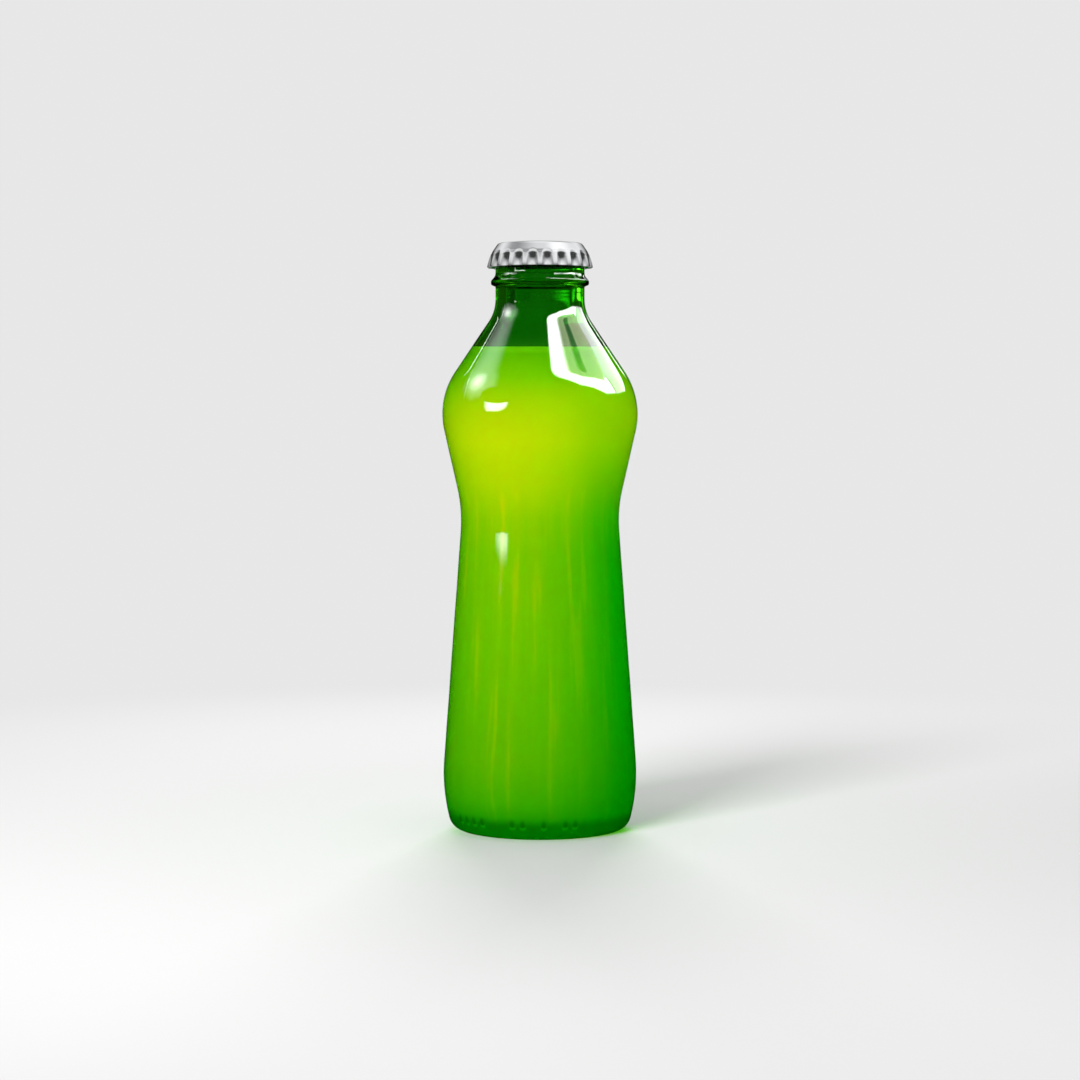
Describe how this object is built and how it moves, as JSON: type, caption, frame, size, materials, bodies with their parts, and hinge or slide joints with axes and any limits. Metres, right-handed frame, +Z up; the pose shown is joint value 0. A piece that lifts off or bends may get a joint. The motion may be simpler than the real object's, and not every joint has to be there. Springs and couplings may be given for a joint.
{
  "type": "soda bottle",
  "caption": "Waisted green glass soda bottle on a rounded heel, filled with a cloudy drink and closed by a fluted steel crown with a sealing liner that lifts off the lip.",
  "frame": {"origin": "centre of the base, on the plane that the bottle stands on", "axes": "+Z up along the bottle's axis to the crown; the side seen in the picture faces -Y, and +X is to the right of it"},
  "size_m": [0.0538, 0.0538, 0.162],
  "materials": {
    "green_glass": "polished",
    "cloudy_drink": "gloss",
    "crown_steel": "gloss",
    "liner_compound": "satin"
  },
  "bodies": {
    "bottle": {"glass_bottle": "green_glass", "drink": "cloudy_drink"},
    "crown": {"crown_shell": "crown_steel", "crown_liner": "liner_compound"}
  },
  "joints": [
    {"name": "crown_lift", "type": "slide", "parent": "bottle", "child": "crown", "axis": [0, 0, 1], "range_m": [0, 0.03]}
  ]
}
